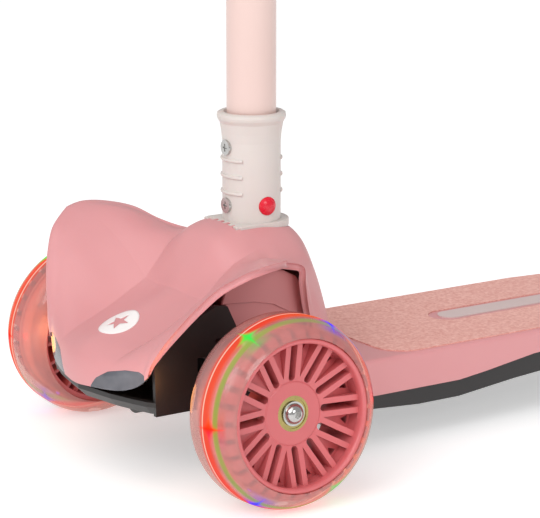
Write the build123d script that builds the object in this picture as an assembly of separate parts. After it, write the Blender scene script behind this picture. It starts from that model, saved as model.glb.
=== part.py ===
from build123d import *
import os
from math import sin, cos, radians

# A child's three-wheel kick scooter, in millimetres. +Z is up, forward is -Y and +X is the rider's left.
# Lengths along Y are measured from the front axle while modelling. save() then moves every part back by
# MID_Y, so that the frame's origin lies on the floor, in the middle of the whole scooter.

# Driving dimensions
WHEEL_R = 60.0           # front wheels
TRACK_X = 118.9          # middle of a front wheel
CAMBER = 4.0             # degrees, tops inward
SHOULDER_R = 20.0        # round shoulder of the front tyre
TREAD_HALF = 4.3         # flat middle of the tread
CORE_R = 47.5            # outside of the rim
REAR_R = 40.0            # rear wheel
WHEELBASE = 450.0
FENDER_R = 48.0          # outside of the rear fender
NOSE_Y = -78.0           # foremost point of the front cover
STEM_Y = 54.3            # steering column, upright
STEM_R = 16.1            # lower stem tube
TUBE_R = 13.0            # upper stem tube
COLLAR_R = 19.0
COLLAR_Z = 151.5         # underside of the collar
BAR_Z = 660.0            # handlebar, lowest setting
BAR_R = 11.0
BAR_HALF = 128.0
DECK_Z = 62.0            # top of the deck
DECK_HALF = 64.5
DECK_END_Y = 404.0
COVER_T = 2.6            # wall of the front cover
WALL = 3.0               # other moulded walls
KINGPIN_X = 77.0
KINGPIN_R = 4.0
LEAN_Z = 45.0            # axis that the steering truck leans about
SHAFT_R = 5.0
ROD_Z = 70.0             # tie rod, above the lean axis
ARM_Y = -16.0            # steering arm pins, in front of the kingpins
AXLE_R = 4.0             # M8 axles
BEARING_R = 11.0         # 608 ball bearing: 8 x 22 x 7
BEARING_W = 7.0
RUN = 0.05               # radial running clearance
GAP = 0.3                # clearance between moulded parts
BRAKE_Y = 399.0          # pivot of the rear brake
BRAKE_Z = 67.0
BUTTON_Z = 162.4         # release button
CLAMP_Z = 445.0          # bolt of the height clamp, CLAMP_Y behind the column
CLAMP_Y = 28.0

MID_Y = (NOSE_Y + WHEELBASE + FENDER_R) / 2
FRONT_WHEELS = {"left": 1, "right": -1}


def save(name, shape):
    export_step(Pos(0, -MID_Y, 0) * shape, f"parts/{name}.step")


def profile(points, plane, start, end):
    """A plate with the given outline on a plane, from start to end along the plane's normal."""
    face = make_face(Polyline(*points, close=True))
    return extrude(plane * (Pos(0, 0, start) * face), amount=end - start, dir=plane.z_dir)


def side_plate(points, x0, x1):
    """A plate outlined by (y, z) points, from x0 to x1."""
    return profile(points, Plane.YZ, x0, x1)


def ring(r_out, r_in, z0, z1):
    """A tube about Z from z0 to z1."""
    body = Cylinder(r_out, z1 - z0) - Cylinder(r_in, z1 - z0)
    return Pos(0, 0, (z0 + z1) / 2) * body


def rod(radius, z0, z1):
    return Pos(0, 0, (z0 + z1) / 2) * Cylinder(radius, z1 - z0)


def block(x0, x1, y0, y1, z0, z1):
    centre = Pos((x0 + x1) / 2, (y0 + y1) / 2, (z0 + z1) / 2)
    return centre * Box(x1 - x0, y1 - y0, z1 - z0)


def along_x(shape):
    """Turns a shape made about Z so that it lies along X."""
    return Rot(0, 90, 0) * shape


def along_y(shape):
    """Turns a shape made about Z so that it lies along Y."""
    return Rot(-90, 0, 0) * shape


def both_sides(shape):
    return Part() + shape + mirror(shape, about=Plane.YZ)


# ---------------------------------------------------------------- front cover

# Half of the cover's outer surface, from the middle line to the edge, as rows from the nose's lower edge
# up over the hood and the tower and down to the deck. The last point of each row is on the wheel arch.
COVER_ROWS = [
    [(0, -78, 61), (16, -76.5, 62), (31, -73, 63), (46, -68.5, 65.5), (56, -64.5, 70), (63, -61.5, 77)],
    [(0, -78, 68), (16, -76.5, 69), (32, -72.5, 71), (47, -67.5, 75), (58, -63.5, 79), (66, -61, 84)],
    [(0, -75, 78), (16, -73, 78.5), (34, -68, 80), (50, -63, 86), (62, -60.5, 90), (70, -59, 91)],
    [(0, -67, 86.5), (16, -64, 86), (35, -58, 86), (54, -54, 96), (67, -54, 101), (76, -56, 100)],
    [(0, -56, 92), (17, -52, 91), (37, -44, 91), (60, -43, 106), (75, -46, 113), (85, -51, 112)],
    [(0, -42, 97.5), (18, -38, 96.5), (38, -31, 96.5), (65, -32, 116), (83, -37, 125), (94, -44.5, 124)],
    [(0, -24, 105), (19, -21, 103.5), (38, -18, 103.5), (69, -20, 125), (90, -26, 135), (104, -35, 137)],
    [(0, -6, 112.5), (19, -5, 111), (36, -5, 112), (68, -7, 132), (95, -12, 144), (113, -20, 146.5)],
    [(0, 5, 131), (18, 4.5, 128), (37, 6, 124), (67, 3, 138), (95, -2, 148), (114, -8, 149)],
    [(0, 15, 146), (19, 14, 143), (39, 16, 133), (62, 13, 139), (86, 10, 147), (108, 6, 148.5)],
    [(0, 28, 151.5), (20, 27, 149), (40, 26, 138), (58, 24, 138), (77, 22, 142.5), (95, 20, 145.5)],
    [(0, 42, 152), (20, 41, 150), (38, 38, 140.5), (51, 34, 136), (63, 31, 137), (76, 28.5, 139.5)],
    [(0, 56, 151.5), (20, 54, 149.5), (37, 50, 141), (48, 46, 136), (55, 43, 134.5), (61, 40, 134.5)],
    [(0, 71, 149), (20, 69, 146.5), (38, 64, 137), (48, 60, 130), (55, 57, 127), (60, 54, 130)],
    [(0, 81, 142), (20, 79, 139), (38, 73, 130), (49, 66, 121), (56, 60, 118), (60, 55.5, 119)],
    [(0, 89, 126), (20, 87, 123), (39, 79, 116), (50, 71, 108), (56, 64, 104), (60, 57.5, 105)],
    [(0, 95, 108), (20, 93, 105), (40, 84, 100), (51, 76, 93), (57, 69, 89), (60, 61, 90)],
    [(0, 99, 84), (20, 97, 82), (40, 89, 80), (51, 81, 76), (57, 74, 74), (60, 66, 74)],
    [(0, 100, 62.4), (20, 98, 62.4), (40, 90, 62.4), (51, 83, 62.4), (57, 76, 62.4), (60, 68, 62.4)],
]


def whole_rows():
    """Both halves of every row, from the right edge to the left edge."""
    rows = []
    for half in COVER_ROWS:
        left = [Vector(*p) for p in half]
        right = [Vector(-p.X, p.Y, p.Z) for p in reversed(left[1:])]
        rows.append(right + left)
    return rows


def pushed_in(rows, depth):
    """The same grid of points, moved inwards by depth along the surface's normals."""
    last_row, last_col = len(rows) - 1, len(rows[0]) - 1
    moved = []
    for i, row in enumerate(rows):
        line = []
        for j, point in enumerate(row):
            along = rows[min(i + 1, last_row)][j] - rows[max(i - 1, 0)][j]
            across = row[min(j + 1, last_col)] - row[max(j - 1, 0)]
            line.append(point - across.cross(along).normalized() * depth)
        moved.append(line)
    return moved


def shell_between(outer_rows, inner_rows):
    """A closed shell solid between two grids: two lofted skins joined by four ruled edges."""
    skins = []
    for rows in (outer_rows, inner_rows):
        sections = [Wire([Spline(*row)]) for row in rows]
        skins += Shell.make_loft(sections).faces()
    rims = []
    for edge in skins[0].edges():
        partner = min(skins[1].edges(), key=lambda e: (e @ 0.5 - edge @ 0.5).length)
        rims.append(Face.make_surface_from_curves(edge, partner))
    return Solid(Shell(skins + rims))


def front_cover_blank():
    """The whole shell, before its windows and the collar's seat are cut."""
    rows = whole_rows()
    return Part() + shell_between(rows, pushed_in(rows, COVER_T))


def lamp_window():
    """The outline of the left lamp, seen from the front, as a cutter."""
    outline = [(17, 56), (17, 63), (22, 69), (31, 74.5), (45, 78), (56, 79), (61, 77.5), (62, 56)]
    return profile(outline, Plane.XZ, 50, 90)


def foot_outline(grow, z0, z1):
    """The collar's foot about the column: a rounded plate with six teeth along its front."""
    plate = block(-21 - grow, 21 + grow, -21.3 - grow, 21.7 + grow, z0, z1)
    for k in range(6):
        x = -19.7 + 7 * k
        plate += block(x - grow, x + 4.4 + grow, -24.3 - grow, -21, z0, z1)
    return plate & rod(31 + grow, z0, z1)


def front_end():
    blank = front_cover_blank()
    windows = both_sides(lamp_window())
    cover = blank - windows - Pos(0, STEM_Y, 0) * foot_outline(GAP, 120, 160)
    save("front_cover", cover)
    lens = blank & lamp_window()
    save("left_lamp_lens", lens)
    save("right_lamp_lens", mirror(lens, about=Plane.YZ))
    tilt = Pos(0, -46, 95.5) * Rot(21, 0, 0)
    lifted = (tilt * Cylinder(14, 16)) & (Pos(0, -0.35, 0.9) * blank)
    save("nose_badge", lifted - blank)


# ---------------------------------------------------------------- chassis and steering housing

def front_chassis():
    """A black moulding under the cover: nose tray, two side walls, top plate and the shaft's bulkheads."""
    plan = [(0, -76), (31, -70.5), (48, -65.2), (59, -61), (64.5, -57), (64.5, -33), (0, -33)]
    plan += [(-x, y) for x, y in reversed(plan[1:-1])]
    tray = profile(plan, Plane.XY, 51, 60)
    tray = chamfer(tray.edges().group_by(Axis.Z)[0].filter_by(lambda e: e.center().Y < -55), 6)
    tray -= Pos(0, WALL, WALL + 1) * profile([(x * 0.95, y + 1) for x, y in plan], Plane.XY, 51, 60)
    wall = [(-57, 51), (-57.8, 82), (-48.5, 97), (-40, 103.5), (-16, 114), (-13, 115.5), (-5, 114),
            (1.4, 100.6), (1.4, 96), (-14, 94), (-14, 84), (-27, 84), (-27, 51)]
    walls = both_sides(side_plate(wall, 61.5, 64.5))
    yoke_room = both_sides(block(53, 62, -13, 13, 80, 90))
    top = block(-61.5, 61.5, -46, 27, 83, 87) - yoke_room
    front = block(-61.5, 61.5, -33, -29, 51, 87)
    boss = Pos(0, -36, LEAN_Z) * along_y(rod(11, 0, 8)) + block(-9, 9, -36, -28, LEAN_Z, 60)
    rear = block(-16, 16, 22, 28, 36, 87)
    peg = Pos(0, ARM_Y, 0) * rod(3, 64, 84)
    body = tray + walls + top + front + boss + rear + peg
    shaft_bore = Pos(0, 0, LEAN_Z) * along_y(rod(SHAFT_R, -50, 40))
    save("front_chassis", body - shaft_bore)


def steering_housing():
    """The pink inner moulding between the arches, open at the front, bottom and back."""
    floor = DECK_Z + 0.4
    top = [(4, 115.5), (24, 113.5), (39, 109), (54, 102), (62, 97.5), (66, 80)]
    outer = side_plate([(34, floor), (34, 88), (4, 88)] + top + [(66, floor)], -48, 48)
    under_roof = [(y - 1, z - WALL) for y, z in top[:-1]] + [(70, 80)]
    front = [(34, 65.4), (34, 80), (-5, 80), (-5, 112.5)]
    inner = side_plate(front + under_roof + [(70, 65.4)], -45.4, 45.4)
    stem_hole = Pos(0, STEM_Y, 0) * rod(21, 70, 130)
    save("steering_housing", outer - inner - stem_hole)


def lean_shaft():
    axis = Pos(0, 0, LEAN_Z)
    shaft = Part() + axis * along_y(rod(SHAFT_R, -39, 31))
    for y in (-37.2, 28):
        groove = axis * along_y(ring(SHAFT_R + 1, SHAFT_R - 0.6, y, y + 1.2))
        clip = axis * along_y(ring(SHAFT_R + 0.9, SHAFT_R - 0.6, y + 0.1, y + 1.1))
        shaft = (shaft - groove) + clip
    save("lean_shaft", shaft)
    pads = [Pos(x, 0, 0) * rod(6, 76, 83) for x in (-24, 24)]
    save("stop_pads", Part() + pads[0] + pads[1])


# ---------------------------------------------------------------- steering truck

def axle_beam():
    boss = Pos(0, 0, LEAN_Z) * along_y(rod(12, -26, 19))
    neck = block(-12, 12, -9, 9, LEAN_Z, 60)
    bar = block(-64, 64, -9, 9, 52, 66)
    yoke = block(62, 67, -10, 10, 41, 79)
    lugs = [block(62, 86, -10, 10, z, z + 6) for z in (41, 73)]
    yokes = both_sides(yoke + lugs[0] + lugs[1])
    body = boss + neck + bar + yokes
    body -= Pos(0, 0, LEAN_Z) * along_y(rod(8, -30, 25))
    for x in (-KINGPIN_X, KINGPIN_X):
        body -= Pos(x, 0, 0) * rod(KINGPIN_R, 40, 80)
    save("axle_beam", body)
    bushes = [Pos(0, 0, LEAN_Z) * along_y(ring(8, SHAFT_R + RUN, y, y + 18)) for y in (-26, 1)]
    save("torsion_bushes", Part() + bushes[0] + bushes[1])


def kingpin():
    return rod(KINGPIN_R, 39, 80) + rod(6, 79, 81.5)


def tie_rod():
    bar = block(-KINGPIN_X, KINGPIN_X, ARM_Y - 3, ARM_Y + 3, ROD_Z - 3, ROD_Z + 3)
    for x in (-KINGPIN_X, 0, KINGPIN_X):
        bar += Pos(x, ARM_Y, 0) * rod(6.3, ROD_Z - 3, ROD_Z + 3)
    bar -= block(-64, 64, ARM_Y + 3, 0, 60, 80)
    bar -= block(66, 90, ARM_Y + 5.6, 0, 60, 80) + block(-90, -66, ARM_Y + 5.6, 0, 60, 80)
    bar -= Pos(0, ARM_Y, 0) * rod(3.9, 60, 80)
    for x in (-KINGPIN_X, KINGPIN_X):
        bar -= Pos(x, ARM_Y, 0) * rod(3.4, 60, 80)
    save("tie_rod", bar)


def wheel_place(side):
    """From the wheel's own axis, +Z outwards, to its place on the scooter."""
    turn = 90 - CAMBER if side > 0 else -90 + CAMBER
    return Pos(side * TRACK_X, 0, WHEEL_R - 0.02) * Rot(0, turn, 0)


def knuckle():
    """The left steering knuckle: block on the kingpin, stub for the wheel, arm and pin for the tie rod."""
    body = block(69, 91, -9, 9, 47.5, 72.5)
    body += wheel_place(1) * rod(8, -34, -18.6)
    body += block(71, 83, ARM_Y - 5, -8, 60, 66.4)
    body += Pos(KINGPIN_X, ARM_Y, 0) * rod(3, 62, 76)
    body -= Pos(KINGPIN_X, 0, 0) * rod(KINGPIN_R + RUN, 40, 80)
    return body - wheel_place(1) * rod(AXLE_R, -36.5, 0)


def axle_bolt():
    """A button-head bolt along the wheel's axis, with its washer."""
    edges = [Line((0, 0), (6.5, 0)), ThreePointArc((6.5, 0), (4.9, 2.9), (0, 4.3)), Line((0, 4.3), (0, 0))]
    head = revolve(Plane.XZ * make_face(edges), Axis.Z)
    socket = Pos(0, 0, 1.6) * extrude(RegularPolygon(2.5, 6), 5)
    washer = ring(7.6, AXLE_R, 11.5, 12.4)
    return rod(AXLE_R, -36.5, 12.4) + washer + Pos(0, 0, 12.4) * (head - socket)


# ---------------------------------------------------------------- front wheels, made about Z

def shoulder(side):
    """One round shoulder of the front tyre, from the tread to the rim."""
    rise = CORE_R - (WHEEL_R - SHOULDER_R)
    reach = (SHOULDER_R ** 2 - rise ** 2) ** 0.5
    mid = SHOULDER_R * cos(radians(45))
    start = (WHEEL_R, side * TREAD_HALF)
    middle = (WHEEL_R - SHOULDER_R + mid, side * (TREAD_HALF + mid))
    end = (CORE_R, side * (TREAD_HALF + reach))
    return start, middle, end


def revolved(points):
    """A solid of revolution about Z from (radius, height) points."""
    return revolve(Plane.XZ * make_face(Polyline(*points, close=True)), Axis.Z)


def front_tyre():
    a0, a1, a2 = shoulder(1)
    b0, b1, b2 = shoulder(-1)
    core = [(CORE_R, 17.5), (CORE_R, 15.5), (50.2, 15.5), (50.2, 6), (53.2, 6), (53.2, -6), (50.2, -6),
            (50.2, -17), (CORE_R, -17)]
    edges = [ThreePointArc(b2, b1, b0), Line(b0, a0), ThreePointArc(a0, a1, a2)]
    loop = [a2] + core + [b2]
    edges += [Line(p, q) for p, q in zip(loop, loop[1:])]
    return revolve(Plane.XZ * make_face(edges), Axis.Z)


SPOKES = 12
SLOT_HALF = 2.3          # half the width of a slot between two ribs
RIB = 2.4                # thickness of a rib, with its ledge beside the slot
LEDGE = 0.35
LUGS = 30
HUB_OUT = 11.5           # outer face of the hub, along the wheel's axis
HUB_IN = -18.0


def front_rim():
    """The moulded core: dished face with twelve slots, deep ribs, hub tube and castellated edge."""
    seat_out, seat_in = HUB_OUT - BEARING_W, HUB_IN + BEARING_W
    face = [(BEARING_R, HUB_OUT), (19, HUB_OUT), (20, 10.9), (44.6, 16.2), (45.2, 17.5)]
    drum = [(CORE_R, 17.5), (CORE_R, -19), (44.6, -19), (44.6, 5), (15, 3)]
    hub = [(15, HUB_IN), (BEARING_R, HUB_IN), (BEARING_R, seat_in), (9.5, seat_in), (9.5, seat_out)]
    rim = revolved(face + drum + hub + [(BEARING_R, seat_out)])
    wedge = [(20.8, 0), (43.6, 6.4), (43.6, -6.4)]
    pocket = Pos(20.8, 0, 0) * Rot(0, 9, 0) * Pos(-20.8, 0, 10.6) * profile(wedge, Plane.XY, 0, 12)
    vent = profile([(37.5, 0), (43.2, 3), (43.2, -3)], Plane.XY, 0, 20)
    slot = block(22.5, 44.4, -SLOT_HALF, SLOT_HALF, 0, 20) + Pos(22.5, 0, 0) * rod(SLOT_HALF, 0, 20)
    rib = block(13, 45.2, SLOT_HALF + LEDGE, SLOT_HALF + RIB, -13, 9)
    ribs = rib + mirror(rib, about=Plane.XZ)
    step = 360 / SPOKES
    for k in range(SPOKES):
        rim += Rot(0, 0, k * step) * ribs
    for k in range(SPOKES):
        rim -= Rot(0, 0, k * step) * slot
        rim -= Rot(0, 0, (k + 0.5) * step) * (pocket + vent)
    for k in range(LUGS):
        rim += Rot(0, 0, (k + 0.25) * 360 / LUGS) * block(46.5, 50, -3.2, 3.2, -15, 13)
    return rim


def bearing(z0):
    """A shielded 608 bearing: outer ring, shield and inner ring, as one solid."""
    body = ring(BEARING_R, AXLE_R + 0.01, z0, z0 + BEARING_W)
    for z in (z0, z0 + BEARING_W - 0.4):
        body -= ring(9.4, 6.0, z, z + 0.4)
    return body


def light_ring():
    body = ring(51.4, 50.2, -5, 5)
    for k in range(6):
        body += Rot(0, 0, 60 * k) * Pos(51, 0, 0) * Sphere(1.9)
    return body & ring(53.1, 50.2, -6, 6)


def front_wheels():
    wheel = {
        "rim": front_rim(),
        "tyre": front_tyre(),
        "light_ring": light_ring(),
        "bearings": Part() + bearing(HUB_OUT - BEARING_W) + bearing(HUB_IN),
        "bearing_spacer": ring(6.0, AXLE_R + RUN, HUB_IN + BEARING_W, HUB_OUT - BEARING_W),
        "axle_bolt": axle_bolt(),
        "magnet_ring": ring(13, 8.05, -27, -20.5),
    }
    knuckle_body = knuckle()
    for name, side in FRONT_WHEELS.items():
        place = wheel_place(side)
        for piece, shape in wheel.items():
            save(f"{name}_{piece}", place * shape)
        save(f"{name}_knuckle", knuckle_body if side > 0 else mirror(knuckle_body, about=Plane.YZ))
        save(f"{name}_kingpin", Pos(side * KINGPIN_X, 0, 0) * kingpin())


# ---------------------------------------------------------------- deck

def deck_plan(inset):
    """The deck's outline seen from above, drawn in by inset."""
    half = [(0, 34), (44, 34), (44, 62), (56, 70), (DECK_HALF, 86), (DECK_HALF, 320), (60, 360), (46, 396),
            (36, DECK_END_Y), (0, DECK_END_Y)]
    outline = half + [(-x, y) for x, y in reversed(half[1:-1])]
    face = make_face(Polyline(*outline, close=True))
    corners = [v for v in face.vertices() if abs(v.X) > 40 and v.Y > 60]
    face = fillet(corners, 9)
    return offset(face, -inset, kind=Kind.ARC) if inset else face


# Lower edges seen from the side: the deck's skirt, and the black frame under it.
SKIRT_BOTTOM = [(20, 46), (60, 42), (78, 38.5), (110, 37.5), (178, 37.5), (200, 40), (242, 46), (300, 49),
                (420, 50)]
FRAME_BOTTOM = [(20, 40), (60, 33), (90, 29), (146, 25), (180, 25), (228, 30), (300, 35), (420, 36)]


def below(line):
    """Everything under a side-view line, as a cutter."""
    return side_plate(line + [(430, -10), (10, -10)], -90, 90)


def above(line, lift):
    """Everything over a side-view line raised by lift, as a cutter."""
    raised = [(y, z + lift) for y, z in line]
    return side_plate(raised + [(430, 90), (10, 90)], -90, 90)


def mat_plan(grow=0.0):
    """The grip mat seen from above: a rounded front, the deck's own sides and a long slot for the inlay."""
    front, back = 125 - grow, 372 + grow
    sides = deck_plan(3.5 - grow)
    patch = make_face(Polyline((-61, front), (61, front), (61, back), (-61, back), close=True))
    patch = fillet(patch.vertices().group_by(Axis.Y)[0], 22)
    return sides & patch


def stadium(half, y0, y1):
    """A strip along Y with round ends."""
    return Pos(0, (y0 + y1) / 2) * Rot(0, 0, 90) * SlotOverall(y1 - y0, 2 * half)


def deck():
    plan = deck_plan(0)
    body = extrude(Pos(0, 0, 34) * plan, DECK_Z - 34)
    body = fillet(body.edges().group_by(Axis.Z)[-1], 3)
    body -= extrude(Pos(0, 0, 30) * deck_plan(WALL), DECK_Z - 33.5)
    body -= below(SKIRT_BOTTOM)
    recess = mat_plan(0.15) - stadium(13, 203, 368)
    body -= extrude(Pos(0, 0, DECK_Z - 1) * recess, 2)
    for x in (-27.5, 27.5):
        ear = [(392, 60), (406, 60), (404, 69), (401, 71.5), (397, 71.5), (394, 69)]
        body += side_plate(ear, x - 1.5, x + 1.5)
    body -= both_sides(block(22.7, 31.3, 396, 410, 30, 56.4))
    body -= Pos(0, BRAKE_Y, BRAKE_Z) * along_x(rod(2.5, -40, 40))
    save("deck", body)
    save("grip_mat", extrude(Pos(0, 0, DECK_Z - 1) * (mat_plan() - stadium(13.2, 202.8, 368.2)), 1.7))
    save("deck_inlay", extrude(Pos(0, 0, DECK_Z) * stadium(9, 210, 361), 0.8))


def underframe():
    gap = WALL + GAP
    body = extrude(Pos(0, 0, 20) * deck_plan(gap), 38.2) - below(FRAME_BOTTOM)
    hollow = extrude(Pos(0, 0, 20) * deck_plan(gap + WALL), 60) & above(FRAME_BOTTOM, WALL)
    body -= hollow
    for y in (70, 130, 190, 250, 310, 370):
        web = extrude(Pos(0, 0, 20) * deck_plan(gap + 1), 37) & block(-70, 70, y, y + 2.5, 20, 58)
        body += web - below(FRAME_BOTTOM)
    arm_side = [(385, 37), (400, 34), (440, 29.5), (460, 30.5), (464, 40), (460, 50), (430, 56), (385, 56)]
    body += both_sides(side_plate(arm_side, 23, 31))
    body -= Pos(0, WHEELBASE, REAR_R) * along_x(rod(AXLE_R, -40, 40))
    save("deck_underframe", body)
    screw = rod(3.4, 27.4, 29) + rod(1.6, 29, 31)
    screws = Part()
    for y in (100, 165, 230, 295):
        for x in (-48, 48):
            head = frame_bottom_at(y)
            screws += Pos(x, y, head - 29) * screw
    save("deck_screws", screws)


def frame_bottom_at(y):
    """Height of the underframe's lower face at y."""
    for (y0, z0), (y1, z1) in zip(FRAME_BOTTOM, FRAME_BOTTOM[1:]):
        if y0 <= y <= y1:
            return z0 + (z1 - z0) * (y - y0) / (y1 - y0)


# ---------------------------------------------------------------- rear wheel and brake

def rear_wheel():
    place = Pos(0, WHEELBASE, REAR_R) * Rot(0, 90, 0)
    tyre = [(31, -17), (36, -18), (38.5, -17), (REAR_R, -13), (REAR_R, 13), (38.5, 17), (36, 18), (31, 17)]
    half = [(11, 15), (15, 15), (15, 3), (27, 3), (28, 16), (31, 16)]
    rim = revolved([(r, -x) for r, x in half] + half[::-1])
    rim += ring(12, 9.5, -8, 8)
    for k in range(6):
        rim -= Rot(0, 0, 60 * k) * Pos(21, 0, 0) * rod(3.5, -5, 5)
    save("rear_tyre", place * revolved(tyre))
    save("rear_rim", place * rim)
    save("rear_bearings", place * (Part() + bearing(8) + bearing(-15)))
    save("rear_bearing_spacer", place * ring(6, AXLE_R + RUN, -8, 8))
    spacers = Part() + ring(6, AXLE_R, 15.3, 23) + ring(6, AXLE_R, -23, -15.3)
    save("rear_axle_spacers", place * spacers)
    head = extrude(Pos(0, 0, 31) * RegularPolygon(7.2, 6), 5)
    save("rear_axle_bolt", place * (rod(AXLE_R, -37.5, 31) + head))
    nut = extrude(Pos(0, 0, -37) * RegularPolygon(7.2, 6), 6) - rod(AXLE_R, -45, -20)
    save("rear_axle_nut", place * nut)


def rear_brake():
    """The fender over the rear wheel, which is pressed down as the brake."""
    half = 22.0
    centre = Pos(0, WHEELBASE, REAR_R)
    arc = centre * along_x(ring(FENDER_R, FENDER_R - 3.4, -half, half))
    keep = side_plate([(WHEELBASE, REAR_R), (WHEELBASE + 70, REAR_R + 6), (WHEELBASE + 70, 120), (380, 120),
                       (WHEELBASE - 70, REAR_R + 40)], -40, 40)
    body = arc & keep
    body += side_plate([(399, 63.5), (411, 63), (413, 67), (399, 71)], -half, half)
    body += Pos(0, BRAKE_Y, BRAKE_Z) * along_x(rod(4.2, -25.6, 25.6))
    for k in range(5):
        turn = radians(70 + 12 * k)   # five grip ribs over the fender
        spot = Pos(0, WHEELBASE + FENDER_R * cos(turn), REAR_R + FENDER_R * sin(turn) - 0.3)
        body += spot * along_x(rod(1.3, -16, 16))
    body -= Pos(0, BRAKE_Y, BRAKE_Z) * along_x(rod(2.5 + RUN, -40, 40))
    save("rear_brake", body - block(-10, 10, 394.5, 403.5, 60, 73))
    save("brake_pin", Pos(0, BRAKE_Y, BRAKE_Z) * along_x(rod(2.5, -30, 30)))
    save("brake_spring", Pos(0, BRAKE_Y, BRAKE_Z) * along_x(ring(4.0, 2.9, -9.5, 9.5)))


# ---------------------------------------------------------------- column

def column():
    at = Pos(0, STEM_Y, 0)
    socket = ring(20.3, STEM_R, 72, 146.5) + rod(20.3, 65.4, 72) + block(-31, 31, -20, 20, 65.4, 70)
    save("stem_socket", at * socket)
    foot = foot_outline(0, 146.5, COLLAR_Z)
    save("collar_base_plate", at * (foot - rod(STEM_R, 140, 160)))
    wall = [(STEM_R, COLLAR_Z), (COLLAR_R, COLLAR_Z), (COLLAR_R, 203), (19.6, 209), (20.6, 215)]
    lip = [(22.1, 217.6), (22.5, 219.3), (22.1, 221.2), (20.8, 222), (18.2, 222), (STEM_R, 219)]
    collar = revolved(wall + lip)
    rib = Plane.XZ * Pos(COLLAR_R, 0) * Circle(1.2)
    for z in (170.1, 180.8, 191.6):
        bead = Pos(0, 0, z) * revolve(rib, Axis.Z, revolution_arc=80)
        for turn in (-130, 50):
            collar += Rot(0, 0, turn) * (bead - rod(STEM_R + 1, 100, 300))
    button_hole = Pos(0, 0, BUTTON_Z) * along_x(rod(6.1, 10, 30))
    screw_holes = Part()
    screws = Part()
    for z in (161.9, 199.7):
        pan = Pos(0, -COLLAR_R - 1.4, z) * along_y(rod(5.0, 0, 3.2))
        shank = Pos(0, -COLLAR_R, z) * along_y(rod(1.9, 0, 5.2))
        slots = Pos(0, -COLLAR_R - 1.4, z) * (Box(5, 1.6, 1.1) + Box(1.1, 1.6, 5))
        screws += (pan + shank) - slots
        screw_holes += Pos(0, -COLLAR_R - 6, z) * along_y(rod(5.0, 0, 7.8)) + shank
    save("stem_collar", at * (collar - button_hole - screw_holes))
    save("collar_screws", at * screws)
    tube = ring(STEM_R, STEM_R - 1.5, 72, 456) - button_hole - screw_holes
    save("lower_stem", at * tube)
    dome = rod(6, 11, 30) & Pos(0, 0, 12.5) * Sphere(9.2)
    button = rod(7.4, 10.4, 12) + dome
    save("release_button", at * Pos(0, 0, BUTTON_Z) * along_x(button))
    leaf = block(-13.8, -12.6, -3, 3, 150, 175) + block(-13.8, 5.5, -3, 3, 173.8, 175)
    save("button_spring", at * (leaf + block(4.3, 5.5, -3, 3, 152, 175)))


def height_adjuster():
    at = Pos(0, STEM_Y, 0)
    bush = ring(STEM_R - 1.5, TUBE_R + RUN, 426, 456) + ring(STEM_R, TUBE_R + RUN, 456, 459)
    save("stem_guide_bush", at * bush)
    clamp = ring(21.5, STEM_R, 430, 456)
    clamp += block(-9, -2, 14, 34, 434, 456) + block(2, 9, 14, 34, 434, 456)
    clamp += block(2, 20, 21.5, 34, 434, 438.6) + block(2, 20, 21.5, 34, 451.4, 456)
    clamp -= block(-2, 2, 10, 40, 420, 460) + rod(STEM_R, 420, 470)
    bolt_line = Pos(0, CLAMP_Y, CLAMP_Z)
    lever_axis = Pos(15.5, CLAMP_Y, 0)
    clamp -= bolt_line * along_x(rod(2.6, -12, 12))
    clamp -= lever_axis * rod(2, 430, 460)
    save("height_clamp", at * clamp)
    bolt = bolt_line * along_x(rod(2.5, -9, 8.6) + rod(4.6, -12.6, -9))
    save("clamp_pins", at * (Part() + bolt + lever_axis * rod(2, 432.5, 457.5)))
    barrel = lever_axis * rod(5.6, 439, 451)
    bow = ring(27.5, 23.6, 439, 451)
    sector = profile([(0, 0), (32, 60), (60, 60), (60, -22)], Plane.XY, 430, 460)
    lever = barrel + (bow & sector) - lever_axis * rod(2 + RUN, 430, 460)
    save("clamp_lever", at * lever)
    stop = ring(STEM_R - 1.6, TUBE_R - 1.4, 262, 272)
    save("upper_stem", at * (ring(TUBE_R, TUBE_R - 1.4, 262, BAR_Z - 6) + stop))


def handlebar():
    at = Pos(0, STEM_Y, 0)
    tee = rod(TUBE_R + 3, BAR_Z - 44, BAR_Z) + Pos(0, 0, BAR_Z) * along_x(rod(BAR_R + 3.4, -30, 30))
    tee -= rod(TUBE_R, BAR_Z - 60, BAR_Z - 6)
    tee -= Pos(0, 0, BAR_Z) * along_x(rod(BAR_R, -40, 40))
    save("tee_joint", at * tee)
    bar = Pos(0, 0, BAR_Z) * along_x(ring(BAR_R, BAR_R - 1.6, -BAR_HALF, BAR_HALF))
    save("handlebar", at * (bar - rod(TUBE_R, BAR_Z - 30, BAR_Z - 6)))
    collar = [(BAR_R, 36), (19, 36), (19.5, 37.5), (19, 39.5), (14.6, 41)]
    hand = [(14.4, 60), (15.6, 80), (14.6, 104), (15, 122), (18.2, 124), (18.6, 127)]
    end = [(17.6, BAR_HALF + 2), (0, BAR_HALF + 2), (0, BAR_HALF), (BAR_R, BAR_HALF)]
    grip = revolved(collar + hand + end)
    save("left_grip", at * Pos(0, 0, BAR_Z) * (Rot(0, 90, 0) * grip))
    save("right_grip", at * Pos(0, 0, BAR_Z) * (Rot(0, -90, 0) * grip))


os.makedirs("parts", exist_ok=True)
front_end()
front_chassis()
steering_housing()
lean_shaft()
axle_beam()
tie_rod()
front_wheels()
deck()
underframe()
rear_wheel()
rear_brake()
column()
height_adjuster()
handlebar()
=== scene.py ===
# %% [markdown]
# A child's three-wheel kick scooter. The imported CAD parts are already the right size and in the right
# place, so this script gives each one the finish of its real material, and makes anew only what a CAD
# mesh shows badly: the flowing front cover with its rolled edges, the column's toothed foot, the badge,
# and the lit rings in the front wheels. It adds the linings of the wheel arches and the lips and blocks of
# the front rims. Everything is in metres, in the frame that the parts were designed in.

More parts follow.
